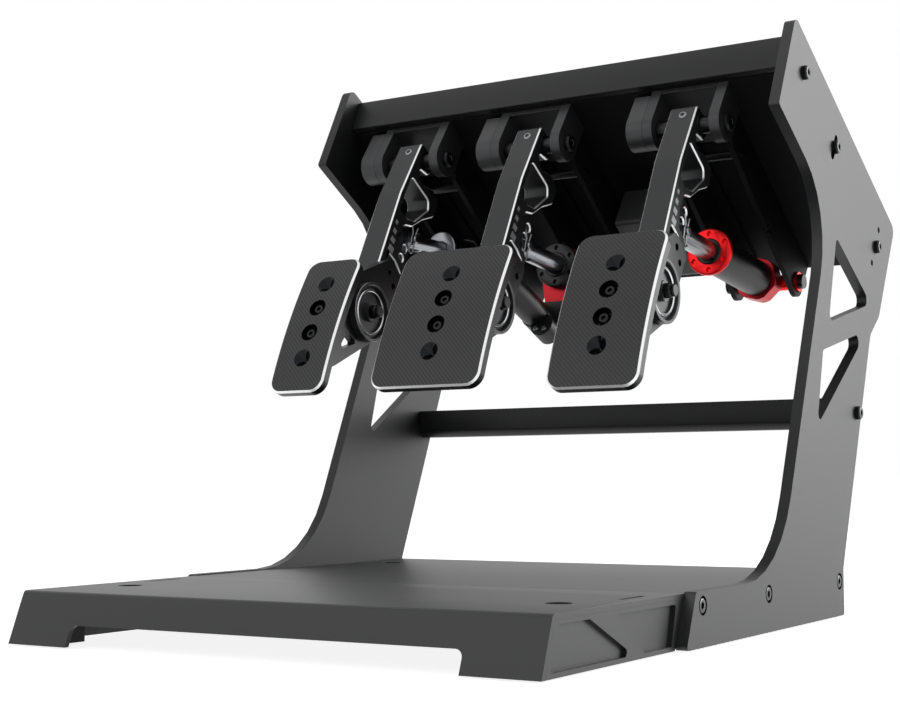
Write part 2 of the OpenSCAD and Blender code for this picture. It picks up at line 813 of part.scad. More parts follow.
module pad(i) {
  half = pad_w[i] / 2;
  s1 = pad_top + pad_lengths[i];
  mid = (pad_top + s1) / 2;
  c = pad_chamfer;
  corners = [[-half, pad_top - mid], [half, pad_top - mid], [half, s1 - mid], [-half, s1 - mid]];
  color(carbon) difference() {
    intersection() {
      pad_sweep(pad_top, s1, [
        [pad_r - pad_t, -half], [pad_r - pad_t, half], [pad_r - c, half], [pad_r, half - c],
        [pad_r, c - half], [pad_r - c, -half]
      ]);
      at_pad(mid) translate([0, 0, -4 * pad_t]) linear_extrude(5 * pad_t) {
        polygon(rounded([for (p = corners) corner(p, pad_corner)]));
      }
    }
    for (s = [pad_top, s1]) at_pad(s) rotate([45, 0, 0]) {
      cube([3 * half, c * sqrt(2), c * sqrt(2)], center = true);
    }
    for (s = outer_holes) at_pad(s + hole_shift[i]) translate([0, 0, -cone_h]) {
      cylinder(r1 = cone_tip_r, r2 = pad_hole_r + 0.3, h = cone_h + 0.3);
    }
    for (s = screw_holes) at_pad(s + hole_shift[i]) {
      translate([0, 0, -screw_seat]) cylinder(r = pad_hole_r, h = screw_seat + 1.5);
      translate([0, 0, -pad_t - 2]) cylinder(r = m6_r + screw_gap, h = pad_t + 4);
    }
  }
}

// Button-head screws in the two middle holes, which hold the pad to its bracket
module pad_screws(i) {
  color(dark_metal) for (s = screw_holes) at_pad(s + hole_shift[i]) difference() {
    union() {
      translate([0, 0, 0.1 - screw_seat]) {
        cylinder(r1 = screw_head_r, r2 = screw_head_r - 1.9, h = screw_head_h);
      }
      translate([0, 0, -pad_t - 7]) cylinder(r = m6_r - 0.02, h = pad_t + 3);
    }
    translate([0, 0, screw_head_h - screw_seat - 2]) cylinder(r = 2.3, h = 3, $fn = 6);
  }
}

motor_at = [5, -246];
lug_screws = [[14, -188], [26, -196]];
plate_in = arm_w / 2 + 0.05;
plate_out = plate_in + bracket_t;
bracket_step = 0.6;
foot_from = pad_holes[0] - 17;
foot_to = pad_holes[3] + 10;
ring_r = motor_r + 1.6;

module pad_bracket(i) {
  outline = rounded(hang([
    [6, 178, 5], [34, 178, 8], [motor_at.x + ring_r, 215, 8], [motor_at.x + ring_r, 252, 16], [-6, 318, 6],
    [-12, 326, 2], [-40, 326, 0], [-40, 242, 0], [-20, 214, 6]
  ]));
  window = rounded(hang([[-8, 279, 2], [-11, 304, 3], [9, 280, 2]]));
  back = pad_back_r;
  foot_out = plate_out - bracket_step;
  color(black_metal) difference() {
    union() {
      intersection() {
        slab(plate_in, plate_out, outline);
        translate([plate_in - 1, pad_centre.x, pad_centre.y]) rotate([0, 90, 0]) {
          cylinder(r = back - bracket_t / 2, h = bracket_t + 2, $fn = fine);
        }
      }
      pad_sweep(foot_from, foot_to, [
        [back - bracket_t, -arm_w / 2], [back - bracket_t, foot_out], [back, foot_out], [back, -arm_w / 2]
      ]);
    }
    slab(plate_in - 1, plate_out + 1, window);
    for (s = screw_holes) at_pad(s + hole_shift[i]) translate([0, 0, -pad_t - bracket_t - 2]) {
      cylinder(r = m6_r, h = bracket_t + 3);
    }
    for (at = lug_screws) bar(plate_in - 1, plate_out + 1, at, m6_r + screw_gap);
  }
}

module haptic() {
  x0 = plate_out + 0.05;
  color(dark_metal) {
    turned(motor_at, [
      [0, x0], [motor_r, x0], [motor_r, x0 + motor_t], [motor_r - 3, x0 + motor_t], [motor_r - 3, x0 + 2.5],
      [22, x0 + 2.5], [22, x0 + motor_t - 2], [19.5, x0 + motor_t - 2], [19.5, x0 + 2.5], [9, x0 + 2.5],
      [9, x0 + motor_t - 1], [0, x0 + motor_t - 1]
    ]);
  }
}

// Clevis pin, damper and return spring of one pedal

clevis_at = [clevis_rows[2], clevis_rows[0], clevis_rows[0]];
function clevis(i) = [clevis_u, -clevis_at[i]];
function reach(i) = norm(rear_at(i) - clevis(i));
function lean(i) = let (d = rear_at(i) - clevis(i)) atan2(d.y, d.x);

// Places a child on the damper's axis: its own Z runs from the clevis pin to the rear pin
module on_damper(i) {
  at = clevis(i);
  translate([0, at.x, at.y]) rotate([lean(i) - 90, 0, 0]) children();
}

module clevis_pin(i) {
  end = fork_r + 5;
  color(silver) difference() {
    turned(clevis(i), [
      [0, -fork_r - 3.5], [6.5, -fork_r - 3.5], [6.5, -fork_r - 1], [clevis_r, -fork_r - 1],
      [clevis_r, end - 1], [clevis_r - 1, end], [0, end]
    ]);
    translate([fork_r + 2.2, clevis_u, clevis(i).y - 10]) cylinder(r = 1.1, h = 20);
  }
}

// Travel of each pedal in degrees, and the damper's stroke that goes with it
travel = [17, 7, 16];
stroke = [24.7, 12.9, 29.6];
rod_r = [clutch_rod_r, fork_r, fork_r];
tube_rs = [clutch_tube_r, tube_r, tube_r];
flange_rs = [clutch_flange_r, flange_r, flange_r];
flange_from = [clutch_flange_at, flange_at, flange_at];
cap_ls = [clutch_cap_l, cap_l, cap_l];
eye_r = 9.5;
fork_l = 24;
slot_deep = 20;
fork_eye = 5.3;
fork_gap = 0.6;
function tube_from(i) = flange_from[i] + flange_t;
function cap_from(i) = reach(i) - eye_r - cap_ls[i] - 0.5;
function bore_r(i) = tube_rs[i] - tube_wall;
piston_room = 1.5;
function piston_from(i) = tube_from(i) + piston_room;

// The turned fork: a slotted bar with milled flats, round about its pin
module rod(i) {
  flat = fork_r - 1.5;
  half_slot = tongue_t / 2 + fork_gap;
  color(silver) on_damper(i) difference() {
    union() {
      intersection() {
        translate([0, 0, -flat]) cylinder(r = fork_r, h = flat + fork_l);
        union() {
          across(0, flat, 4 * fork_r);
          translate([-2 * fork_r, -flat, 0]) cube([4 * fork_r, 2 * flat, 15]);
          translate([-2 * fork_r, -2 * fork_r, 15]) cube([4 * fork_r, 4 * fork_r, fork_l]);
        }
      }
      translate([0, 0, fork_l - eps]) cylinder(r = rod_r[i], h = piston_from(i) - fork_l + 2 * eps);
      translate([0, 0, piston_from(i)]) cylinder(r = bore_r(i) - piston_gap, h = piston_t);
    }
    translate([-half_slot, -2 * fork_r, -2 * fork_r]) {
      cube([2 * half_slot, 4 * fork_r, 2 * fork_r + slot_deep]);
    }
    across(0, fork_eye, 4 * fork_r);
  }
}

module flange(i) {
  r = flange_rs[i];
  s = flange_from[i];
  hole_at = (r + rod_r[i]) / 2 + 1.5;
  color(i == 2 ? red_metal : i == 1 ? dark_metal : silver) on_damper(i) difference() {
    translate([0, 0, s]) rotate_extrude() polygon([
      [rod_r[i] + piston_gap, 0], [r - 1, 0], [r, 1], [r, flange_t - 3], [tube_rs[i], flange_t - 3],
      [tube_rs[i], flange_t - 0.05], [rod_r[i] + piston_gap, flange_t - 0.05]
    ]);
    if (i > 0) for (k = [0 : 5]) rotate([0, 0, 30 + 60 * k]) {
      translate([hole_at, 0, s - 1]) cylinder(r = 2.2, h = 4);
    }
  }
}

// The tube, with a charging valve below its front end on the throttle's damper
module tube(i) {
  color(dark_metal) on_damper(i) difference() {
    union() {
      translate([0, 0, tube_from(i)]) cylinder(r = tube_rs[i], h = cap_from(i) - tube_from(i));
      if (i == 2) translate([0, tube_rs[i] - 2, tube_from(i) + 12]) {
        rotate([-90, 0, 0]) cylinder(r = 5.5, h = 10);
      }
    }
    translate([0, 0, tube_from(i) - 1]) cylinder(r = bore_r(i), h = cap_from(i) - tube_from(i) + 2);
  }
}

// A bar across the damper's axis, at distance s from the clevis pin
module across(s, r, length) {
  translate([0, 0, s]) rotate([0, 90, 0]) cylinder(r = r, h = length, center = true);
}

module end_cap(i) {
  s = cap_from(i) + 0.05;
  mid = s + cap_ls[i] / 2;
  r = i == 0 ? clutch_flange_r - 1.5 : flange_r - 0.5;
  color(i == 0 ? dark_metal : red_metal) on_damper(i) difference() {
    union() {
      intersection() {
        translate([0, 0, s]) cylinder(r = r, h = cap_ls[i]);
        translate([0, 0, s]) rotate([0, 0, 15]) cylinder(r = r * 1.09, h = cap_ls[i], $fn = 6);
      }
      across(reach(i), eye_r, 2 * eye_half);
      translate([-eye_half, -eye_r, mid]) cube([2 * eye_half, 2 * eye_r, reach(i) - mid]);
    }
    across(reach(i), rear_pin_r + pin_gap, 4 * eye_half);
  }
}

// Return spring, drawn at its fully pressed length: one unbroken tube along a helix
wire = [2, 4, 4];
turns = [3, 7, 6];
ring_steps = 8;
ring_sides = 6;
function spring_end(i) = cap_from(i) - 0.3;
function spring_start(i) = piston_from(i) + piston_t + stroke[i] + 0.5;
function spring_r(i) = bore_r(i) - wire[i] / 2 - 0.5;
function spring_path(i) =
  let (s0 = spring_start(i) + wire[i], s1 = spring_end(i) - wire[i], n = turns[i] * ring_steps)
  let (r = spring_r(i), step = 360 / ring_steps)
  concat(
    [[r, 0, s0 - wire[i]]],
    [for (k = [0 : n]) [r * cos(step * k), r * sin(step * k), s0 + (s1 - s0) * k / n]],
    [[r, 0, s1 + wire[i]]]
  );

function ring(path, k, r) =
  let (n = len(path) - 1)
  let (t = k == 0 || k == n ? [0, 0, 1] : unit(unit(path[k + 1] - path[k]) + unit(path[k] - path[k - 1])))
  let (out = unit([path[k].x, path[k].y, 0]), side = unit(cross(t, out)), up = cross(side, t))
  [for (j = [0 : ring_sides - 1]) let (a = 360 * j / ring_sides) path[k] + r * (cos(a) * up + sin(a) * side)];

function least_gap(path, wire_d) =
  let (last = len(path) - 1)
  min([for (a = [0 : last]) for (b = [a + ring_steps / 2 : 1 : last]) norm(path[a] - path[b])]) - wire_d;

module spring(i) {
  path = spring_path(i);
  n = len(path);
  points = [for (k = [0 : n - 1]) each ring(path, k, wire[i] / 2)];
  walls = [for (k = [0 : n - 2]) for (j = [0 : ring_sides - 1])
    let (a = k * ring_sides + j, b = k * ring_sides + (j + 1) % ring_sides)
    each [[a, b, b + ring_sides], [a, b + ring_sides, a + ring_sides]]];
  start = [for (j = [1 : ring_sides - 2]) [0, j + 1, j]];
  last = (n - 1) * ring_sides;
  stop = [for (j = [1 : ring_sides - 2]) [last, last + j, last + j + 1]];
  echo(str(PEDALS[i], " spring, least gap between its turns: ", least_gap(path, wire[i])));
  color(silver) on_damper(i) polyhedron(points, concat(walls, start, stop));
}

// Second hydraulic cylinder, beside and below the brake's rod, on a clamp round the damper's tube

reservoir_r = 14;
reservoir_l = 60;
reservoir_tilt = 17;
reservoir_at = [-19, 32, 15];
block_r = 15;
block_l = 20;
lobe_r = 12;
lobe_at = [10, 13];
collar_l = 14;
clamp = [[-20, 14], [16, 14], [12, 40], [2, 60], [-12, 60]];

module brake_reservoir() {
  s = tube_from(1) + 2;
  color(dark_metal) on_damper(1) difference() {
    union() {
      translate([0, 0, s]) cylinder(r = tube_r + 4, h = collar_l);
      translate([0, 0, s + 0.5]) linear_extrude(collar_l - 4) polygon(clamp);
      translate(reservoir_at) rotate([-reservoir_tilt, 0, 0]) {
        cylinder(r = reservoir_r, h = reservoir_l);
        translate([0, 0, reservoir_l - eps]) cylinder(r = block_r, h = block_l);
        translate([lobe_at.x, lobe_at.y, reservoir_l - eps]) cylinder(r = lobe_r, h = block_l);
      }
    }
    translate([0, 0, s - 1]) cylinder(r = tube_r + 0.05, h = collar_l + 2);
  }
}

left_side_plate();
right_side_plate();
front_deck();
rear_deck();
deck_rails();
deck_feet();
cross_bar();
front_fascia();
mount_panel();
frame_bolts();
control_box();
pivot_pins();
rear_pins();
spacer_rods();
on_pedal(1) brake_reservoir();
for (i = [0 : 2]) on_pedal(i) {
  bracket();
  side_plates();
  sensor();
  arm();
  bushes();
  pad_bracket(i);
  pad(i);
  haptic();
  clevis_pin(i);
  pad_screws(i);
  tube(i);
  flange(i);
  end_cap(i);
  spring(i);
  rod(i);
}
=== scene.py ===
import bpy
import bmesh
import json
import math
from mathutils import Matrix, Vector

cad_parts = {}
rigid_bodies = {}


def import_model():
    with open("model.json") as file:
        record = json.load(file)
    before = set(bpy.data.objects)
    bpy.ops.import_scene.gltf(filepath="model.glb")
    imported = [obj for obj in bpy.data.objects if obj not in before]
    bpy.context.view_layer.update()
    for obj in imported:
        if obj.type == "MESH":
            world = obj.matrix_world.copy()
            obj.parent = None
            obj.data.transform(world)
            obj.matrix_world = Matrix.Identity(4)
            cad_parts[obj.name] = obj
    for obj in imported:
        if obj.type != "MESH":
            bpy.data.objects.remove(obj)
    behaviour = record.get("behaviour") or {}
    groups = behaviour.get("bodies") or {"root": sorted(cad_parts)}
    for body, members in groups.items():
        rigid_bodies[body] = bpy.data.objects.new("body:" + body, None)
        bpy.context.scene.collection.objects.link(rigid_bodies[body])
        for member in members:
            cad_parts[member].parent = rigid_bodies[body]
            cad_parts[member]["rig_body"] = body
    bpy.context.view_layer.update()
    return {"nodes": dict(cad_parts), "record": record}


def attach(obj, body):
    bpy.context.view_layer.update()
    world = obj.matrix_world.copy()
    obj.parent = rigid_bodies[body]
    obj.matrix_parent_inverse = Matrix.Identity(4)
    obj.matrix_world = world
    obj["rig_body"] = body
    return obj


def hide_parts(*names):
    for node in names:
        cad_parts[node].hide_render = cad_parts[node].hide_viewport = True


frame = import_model()

MM = 0.001

# Camera, solved from the stand's straight edges in the 900 x 706 photograph
CAMERA_AT = Vector((0.7444, -1.26865, 0.1319))
CAMERA_YAW = math.radians(32.33)
CAMERA_PITCH = math.radians(4.34)
CAMERA_ROLL = math.radians(-0.40)
FOCAL_PX = 1611.5
PHOTO_W = 900
SENSOR_MM = 36.0

# Studio: each lamp's place, aim and size in metres with its power in watts, the floor, and the room's light
LAMPS = {
    "key_from_the_right": ((2.4, 2.4, 1.2), (0.2, 0.0, 0.3), (2.2, 2.2), 76),
    "fill_from_the_front": ((-0.9, -2.6, 1.8), (0.0, 0.0, 0.25), (2.4, 1.6), 9),
}
FLOOR_SIZE = 40
FLOOR_AT = (0, 8, 0)
FLOOR_GLOW = 0.86
ROOM_LIGHT = 0.2
BACKDROP_LIGHT = 1.0

# Places and sizes that the CAD model gives, all in millimetres. Under the sloping panel, u runs down the
# slope, v away below it, and x across from a pedal's middle.
PEDALS = ("clutch", "brake", "throttle")
PEDAL_X = {"clutch": -160.0, "brake": -20.8, "throttle": 143.5}
HALF_DEPTH = 368.645
PANEL_D = 481.3
PANEL_Z = 491.9
PANEL_SLOPE = math.radians(34.65)

# Arm, with its pivot, its clevis pin and its vibration motor, whose two rims each lie between two radii
ARM_HALF = 13.25
ARM_FRONT = -7.5
PIVOT_V = 43.5
SET_SCREW_AT = (1.0, ARM_FRONT, PIVOT_V - 1)
CLEVIS_U = 40.0
CLEVIS_V = {"clutch": 121.0, "brake": 145.0, "throttle": 145.0}
MOTOR_AT = (5.0, 246.0)
MOTOR_TOP = 29.35
MOTOR_INNER_RIM = (18, 23)
MOTOR_OUTER_RIM = (24, 30)

# Damper, along its rod from the clevis pin to the rear pin. The ring that takes the valve off stays just
# clear of the tube's wall.
REAR_PIN = {"clutch": (150.0, 45.0), "brake": (236.0, 41.0), "throttle": (236.0, 41.0)}
FORK_SIDE = 9.5
ROD_R = 9.5
FLANGE_AT = 76.0
TUBE_R = 18.0
VALVE_FROM, VALVE_TO = 85, 104
VALVE_REACH = 12
VALVE_CLEAR = 0.02

# Ends of the rear pins: the nut's place from the pedal's middle, and how far past it the head starts and
# its rim lies
REAR_NUT = 36.0
HEAD_PAST_NUT = 0.5
HEAD_RIM_PAST_NUT = 3

# Brake's second cylinder, with the end block at its far end and the clamp that holds it to the damper. The
# clamp is red from its collar down to CLAMP_LOW below the damper's middle.
RESERVOIR_AT = (-19.0, 32.0, 15.0)
RESERVOIR_TILT = math.radians(17)
END_BLOCK_AT = 60
BLOCK_SCREWS = ((4.8, 17.4), (14.3, 17.4))
COLLAR_FROM, COLLAR_TO = 86.0, 100.0
COLLAR_SLACK = 0.5
CLAMP_LOW = 35.0

# Pads: plate, curve and chamfers. PAD_MID is the u and v of the middle, and PAD_TOP the top's place from it
# along the curve.
PAD_W = {"clutch": 60.0, "brake": 113.0, "throttle": 84.5}
PAD_L = {"clutch": 146.0, "brake": 146.0, "throttle": 153.0}
PAD_T = 9.5
PAD_R = 545.0
PAD_TILT = math.radians(7.3)
PAD_MID = (-33.2, 286.5)
PAD_TOP = -73.0
PAD_CORNER = 13.0
PAD_CORNER_STEPS = 10
PAD_CHAMFER = 1.7
PAD_BACK_EDGE = 0.6
PAD_BEND_STEP = 6

# Holes down the pad, as places below its middle, and the margins within which a face belongs to a hole. A
# cutter has its radius at the bottom and at the top, its top's height over the pad's face, and its depth.
PAD_HOLES = (-42.5, -15.5, 11.5, 38.5)
HOLE_SHIFT = {"clutch": 0.0, "brake": 0.0, "throttle": 3.5}
HOLE_R = 8.8
HOLE_MARGIN = 0.35
FACE_MARGIN = 0.05
CONE = (0.8, 9.1, 0.3, 8.5)
RECESS = (HOLE_R, HOLE_R, 1, 6.5)
SHANK_HOLE = (3.3, 3.3, -4, 8)

# Outlines of the turned parts, as radius and height, each closed down a hair beside its axis
AXIS = 0.01
SET_SCREW = ((AXIS, -1.5), (3.9, -1.5), (3.9, 0.1), (3.3, 0.7), (2.2, 0.7), (2.2, -0.6), (AXIS, -0.6))
SPINDLE = ((AXIS, -0.5), (6.6, -0.5), (6.6, 5.2), (5.6, 6.2), (5.6, 8.6), (4.8, 9.4), (AXIS, 9.4))
BLOCK_SCREW = ((AXIS, -1.0), (2.6, -1.0), (2.6, 1.2), (2.1, 1.8), (1.3, 1.8), (1.3, 0.6), (AXIS, 0.6))

# Wiper seal: its gap round the rod, its width at the nose and at the foot, and the height of both together
# and of the foot
SEAL_GAP = 0.12
SEAL_NOSE, SEAL_FOOT = 2.2, 3.0
SEAL_H, SEAL_FOOT_H = 1.6, 0.8

# Hairpin clip: its place beside the fork, its lean and wire, and its bends as across and along the clip
CLIP_BESIDE = 2.2
CLIP_LEAN = math.radians(18)
CLIP_WIRE_R = 0.9
CLIP_BENDS = ((2.5, -13), (0.6, -6), (0, 0), (0, 8), (-0.4, 13), (-2.6, 16), (-5.6, 15.5), (-7, 11.5),
              (-5.6, 6), (-5.8, 0), (-4.6, -4), (-6.4, -9.5), (-8.6, -13))

# White marks beside the arm's pin holes, as u, v, width and height
MARKS = ((4.4, 129.5, 4.0, 4.4), (6.8, 139.3, 5.6, 5.2), (9.0, 149.0, 7.2, 6.0), (11.4, 158.4, 8.8, 6.8))
MARK_T = 0.1

# Widths of the bevels on the edges
SHEET_BEVEL = 0.5
PIECE_BEVEL = 0.4
PAD_SCREW_BEVEL = 0.35
BOLT_BEVEL = 0.3
PIN_BEVEL = 0.6
ARM_BEVEL = 1.2
PAD_BRACKET_BEVEL = 0.6
MOTOR_INNER_BEVEL = 0.7
MOTOR_OUTER_BEVEL = 0.4


def place_camera():
    """A camera at the place that the photograph was taken from."""
    flat = math.cos(CAMERA_PITCH)
    forward = Vector((-math.sin(CAMERA_YAW) * flat, math.cos(CAMERA_YAW) * flat, math.sin(CAMERA_PITCH)))
    level = Vector((math.cos(CAMERA_YAW), math.sin(CAMERA_YAW), 0))
    upright = level.cross(forward)
    right = level * math.cos(CAMERA_ROLL) + upright * math.sin(CAMERA_ROLL)
    up = upright * math.cos(CAMERA_ROLL) - level * math.sin(CAMERA_ROLL)
    camera = bpy.data.objects.new("camera", bpy.data.cameras.new("camera"))
    camera.data.sensor_width = SENSOR_MM
    camera.data.lens = FOCAL_PX * SENSOR_MM / PHOTO_W
    camera.matrix_world = Matrix((right, up, -forward)).transposed().to_4x4()
    camera.location = CAMERA_AT
    bpy.context.collection.objects.link(camera)
    bpy.context.scene.camera = camera


# Places on a pedal

def under(pedal, x, u, v):
    """A place below the panel, in metres: x across from the pedal's middle, u down the slope, v below it."""
    c, s = math.cos(PANEL_SLOPE), math.sin(PANEL_SLOPE)
    return Vector((PEDAL_X[pedal] + x, PANEL_D + u * c - v * s - HALF_DEPTH, PANEL_Z - u * s - v * c)) * MM


def damper_place(pedal):
    """The matrix at a pedal's clevis pin whose Z runs to its rear pin, with X across and Y down."""
    start = under(pedal, 0, CLEVIS_U, CLEVIS_V[pedal])
    along = (under(pedal, 0, *REAR_PIN[pedal]) - start).normalized()
    across = Vector((1, 0, 0))
    turn = Matrix((across, along.cross(across), along)).transposed().to_4x4()
    return Matrix.Translation(start) @ turn


def arm_face_place(place):
    """The matrix of a place on an arm's front face, with Z out of the face."""
    out = Vector((0, -math.cos(PANEL_SLOPE), math.sin(PANEL_SLOPE)))
    side = Vector((1, 0, 0))
    turn = Matrix((side, out.cross(side), out)).transposed().to_4x4()
    return Matrix.Translation(place) @ turn


def onto_pad(pedal, x, s, out):
    """A place over a pad's curved face, in metres: s below its middle along the curve, out from the face."""
    turn = PAD_TILT + s / PAD_R
    r = PAD_R + out
    middle_u = PAD_MID[0] + PAD_R * math.cos(PAD_TILT)
    middle_v = PAD_MID[1] - PAD_R * math.sin(PAD_TILT)
    return under(pedal, x, middle_u - r * math.cos(turn), middle_v + r * math.sin(turn))


# Materials

def linear(code):
    """An sRGB hex colour as linear RGBA."""
    parts = [int(code[i:i + 2], 16) / 255 for i in (1, 3, 5)]
    return tuple(p / 12.92 if p <= 0.04045 else ((p + 0.055) / 1.055) ** 2.4 for p in parts) + (1.0,)


def add(tree, kind, settings=None, **inputs):
    """A node with its settings and its inputs, each by name or as i0, i1 or i2: a value or (node, output)."""
    made = tree.nodes.new("ShaderNode" + kind)
    for name, value in (settings or {}).items():
        setattr(made, name, value)
    for name, value in inputs.items():
        numbered = name[0] == "i" and name[1:].isdigit()
        socket = made.inputs[int(name[1:]) if numbered else name.replace("_", " ")]
        if isinstance(value, tuple) and isinstance(value[0], bpy.types.Node):
            tree.links.new(value[0].outputs[value[1]], socket)
        else:
            socket.default_value = value
    return made


def finish_material(name, metallic, roughness, ior=None):
    """A material with one Principled surface, and its tree, its surface and its Object coordinates."""
    material = bpy.data.materials.new(name)
    material.use_nodes = True
    tree = material.node_tree
    surface = tree.nodes["Principled BSDF"]
    surface.inputs["Metallic"].default_value = metallic
    surface.inputs["Roughness"].default_value = roughness
    if ior:
        surface.inputs["IOR"].default_value = ior
    place = add(tree, "TexCoord")
    return material, tree, surface, place


def grain_bump(tree, surface, place, size, strength, depth):
    """A fine random grain, its size and depth in millimetres."""
    grain = add(tree, "TexNoise", Vector=(place, "Object"), Scale=1 / (size * MM), Detail=3.0)
    bump = add(tree, "Bump", Strength=strength, Distance=depth * MM, Height=(grain, "Fac"))
    tree.links.new(bump.outputs["Normal"], surface.inputs["Normal"])


def shade_cloud(tree, surface, place, dark, light, size):
    """A slow drift of the colour from dark to light over about size millimetres."""
    cloud = add(tree, "TexNoise", Vector=(place, "Object"), Scale=1 / (size * MM), Detail=2.0)
    shade = add(tree, "MixRGB", Fac=(cloud, "Fac"), Color1=linear(dark), Color2=linear(light))
    tree.links.new(shade.outputs["Color"], surface.inputs["Base Color"])


def powder_coat(name, dark, light, ior=1.5):
    """Powder-coated steel plate: a fine, even orange-peel grain under a soft satin sheen."""
    material, tree, surface, place = finish_material(name, metallic=0.0, roughness=0.42, ior=ior)
    grain_bump(tree, surface, place, size=1.1, strength=0.12, depth=0.05)
    shade_cloud(tree, surface, place, dark, light, size=90)
    return material


def brushed(name, dark, light, metallic, roughness, pitch):
    """Metal with the fine lines that a belt leaves along X, a little lighter and darker from line to line."""
    material, tree, surface, place = finish_material(name, metallic, roughness)
    stretch = add(tree, "Mapping", Vector=(place, "Object"), Scale=(0.04, 1.0, 1.0))
    lines = add(tree, "TexNoise", Vector=(stretch, "Vector"), Scale=1 / (pitch * MM), Detail=4.0)
    shade = add(tree, "MixRGB", Fac=(lines, "Fac"), Color1=linear(dark), Color2=linear(light))
    bump = add(tree, "Bump", Strength=0.06, Distance=0.02 * MM, Height=(lines, "Fac"))
    tree.links.new(shade.outputs["Color"], surface.inputs["Base Color"])
    tree.links.new(bump.outputs["Normal"], surface.inputs["Normal"])
    return material


def satin_skin(name, dark, light, metallic, roughness, ior=None):
    """A thin even skin, as anodising, black oxide or paint leaves: satin, with a grain too fine to see."""
    material, tree, surface, place = finish_material(name, metallic, roughness, ior)
    grain_bump(tree, surface, place, size=0.5, strength=0.08, depth=0.02)
    shade_cloud(tree, surface, place, dark, light, size=40)
    return material


def moulded(name, dark, light, roughness, grain):
    """Moulded plastic or rubber: soft highlights broken up by a fine spark-eroded grain."""
    material, tree, surface, place = finish_material(name, metallic=0.0, roughness=roughness, ior=1.5)
    grain_bump(tree, surface, place, size=grain, strength=0.15, depth=0.04)
    shade_cloud(tree, surface, place, dark, light, size=25)
    return material


# Weave of the pads: one tow is 1 mm wide, coarser than the real one so that the render shows it. Every fourth
# step of the twill is alike, half of them with the tow over, and the rows follow the pad's lean.
TOW = 1.0
TWILL_REPEAT = 4.0
TWILL_OVER = 1.5
PAD_LEAN = PANEL_SLOPE - PAD_TILT
UP_THE_PAD = (0.0, math.sin(PAD_LEAN), math.cos(PAD_LEAN))


def carbon_twill():
    """Carbon-fibre face in a 2/2 twill: satin diagonal stripes, painted lighter where the tows run down the
    pad, a painted sheen.
    """
    material, tree, surface, place = finish_material("carbon_twill", metallic=0.0, roughness=0.42, ior=1.42)
    surface.inputs["Coat Weight"].default_value = 0.1
    surface.inputs["Coat Roughness"].default_value = 0.25
    across = add(tree, "VectorMath", {"operation": "DOT_PRODUCT"}, i0=(place, "Object"), i1=(1.0, 0.0, 0.0))
    along = add(tree, "VectorMath", {"operation": "DOT_PRODUCT"}, i0=(place, "Object"), i1=UP_THE_PAD)
    column = add(tree, "Math", {"operation": "DIVIDE"}, i0=(across, "Value"), i1=TOW * MM)
    row = add(tree, "Math", {"operation": "DIVIDE"}, i0=(along, "Value"), i1=TOW * MM)
    column_no = add(tree, "Math", {"operation": "FLOOR"}, i0=(column, "Value"))
    row_no = add(tree, "Math", {"operation": "FLOOR"}, i0=(row, "Value"))
    step = add(tree, "Math", {"operation": "ADD"}, i0=(column_no, "Value"), i1=(row_no, "Value"))
    turn = add(tree, "Math", {"operation": "FLOORED_MODULO"}, i0=(step, "Value"), i1=TWILL_REPEAT)
    over = add(tree, "Math", {"operation": "LESS_THAN"}, i0=(turn, "Value"), i1=TWILL_OVER)
    # The tows that run down the pad are lighter: painted sheen on the weave
    shade = add(tree, "MixRGB", Fac=(over, "Value"), Color1=linear("#131415"), Color2=linear("#3d3e40"))
    bump = add(tree, "Bump", Strength=0.25, Distance=0.05 * MM, Height=(over, "Value"))
    tree.links.new(shade.outputs["Color"], surface.inputs["Base Color"])
    tree.links.new(bump.outputs["Normal"], surface.inputs["Normal"])
    return material


# Stand: black powder coat; the bars and the left plate get a darker copy, painted shade, with a lower IOR
# that gives back less of the room
COAT = powder_coat("powder_coated_plate", "#292a2c", "#2f3032")
SHADED_COAT = powder_coat("powder_coat_painted_shade", "#1f2021", "#252627", ior=1.4)
# Flat black paint, almost without a highlight, on the pedals' side plates and the panel, far darker than the
# stand's coat: painted shade
MATTE_SHADE = satin_skin("matte_black_painted_shade", "#0b0b0c", "#0e0e0f", metallic=0.0, roughness=0.6, ior=1.25)
# Black anodised aluminium: the arms and brackets are a shade greyer, the dampers' tubes darker
BLACK = satin_skin("black_anodised_aluminium", "#1c1d1e", "#232425", metallic=0.2, roughness=0.38)
ARM_BLACK = satin_skin("satin_black_arm", "#2f3032", "#37383a", metallic=0.2, roughness=0.42)
BRACKET_BLACK = satin_skin("satin_black_bracket", "#3d3e40", "#464749", metallic=0.2, roughness=0.42)
TUBE_BLACK = satin_skin("dark_anodised_tube", "#151617", "#1b1c1d", metallic=0.1, roughness=0.36, ior=1.28)
# Pads: the woven face, and the walls of its holes, turned so smooth that they mirror the room
CARBON = carbon_twill()
HOLE_BLACK = satin_skin("turned_black_bore", "#1d1e20", "#232426", metallic=0.95, roughness=0.12)
# Black oxide on steel screws, pins and bushes: near black, with a tight metallic highlight
OXIDE = satin_skin("black_oxide_steel", "#111213", "#18191a", metallic=0.5, roughness=0.3)
# Red anodised aluminium, clear and metallic, and the deeper red of the throttle's end cap and the clamp
RED = satin_skin("red_anodised_aluminium", "#f0141a", "#ff1e24", metallic=0.75, roughness=0.34)
DEEP_RED = satin_skin("dark_red_anodised_aluminium", "#b41c26", "#cc2630", metallic=0.75, roughness=0.36)
# Ground and drawn steel: bright, with fine lines across it that soften the highlight
BRIGHT = brushed("ground_steel_rod", "#85878a", "#999b9e", metallic=1.0, roughness=0.28, pitch=0.6)
SPRING = brushed("spring_steel", "#8a8c8f", "#a8aaad", metallic=1.0, roughness=0.35, pitch=0.8)
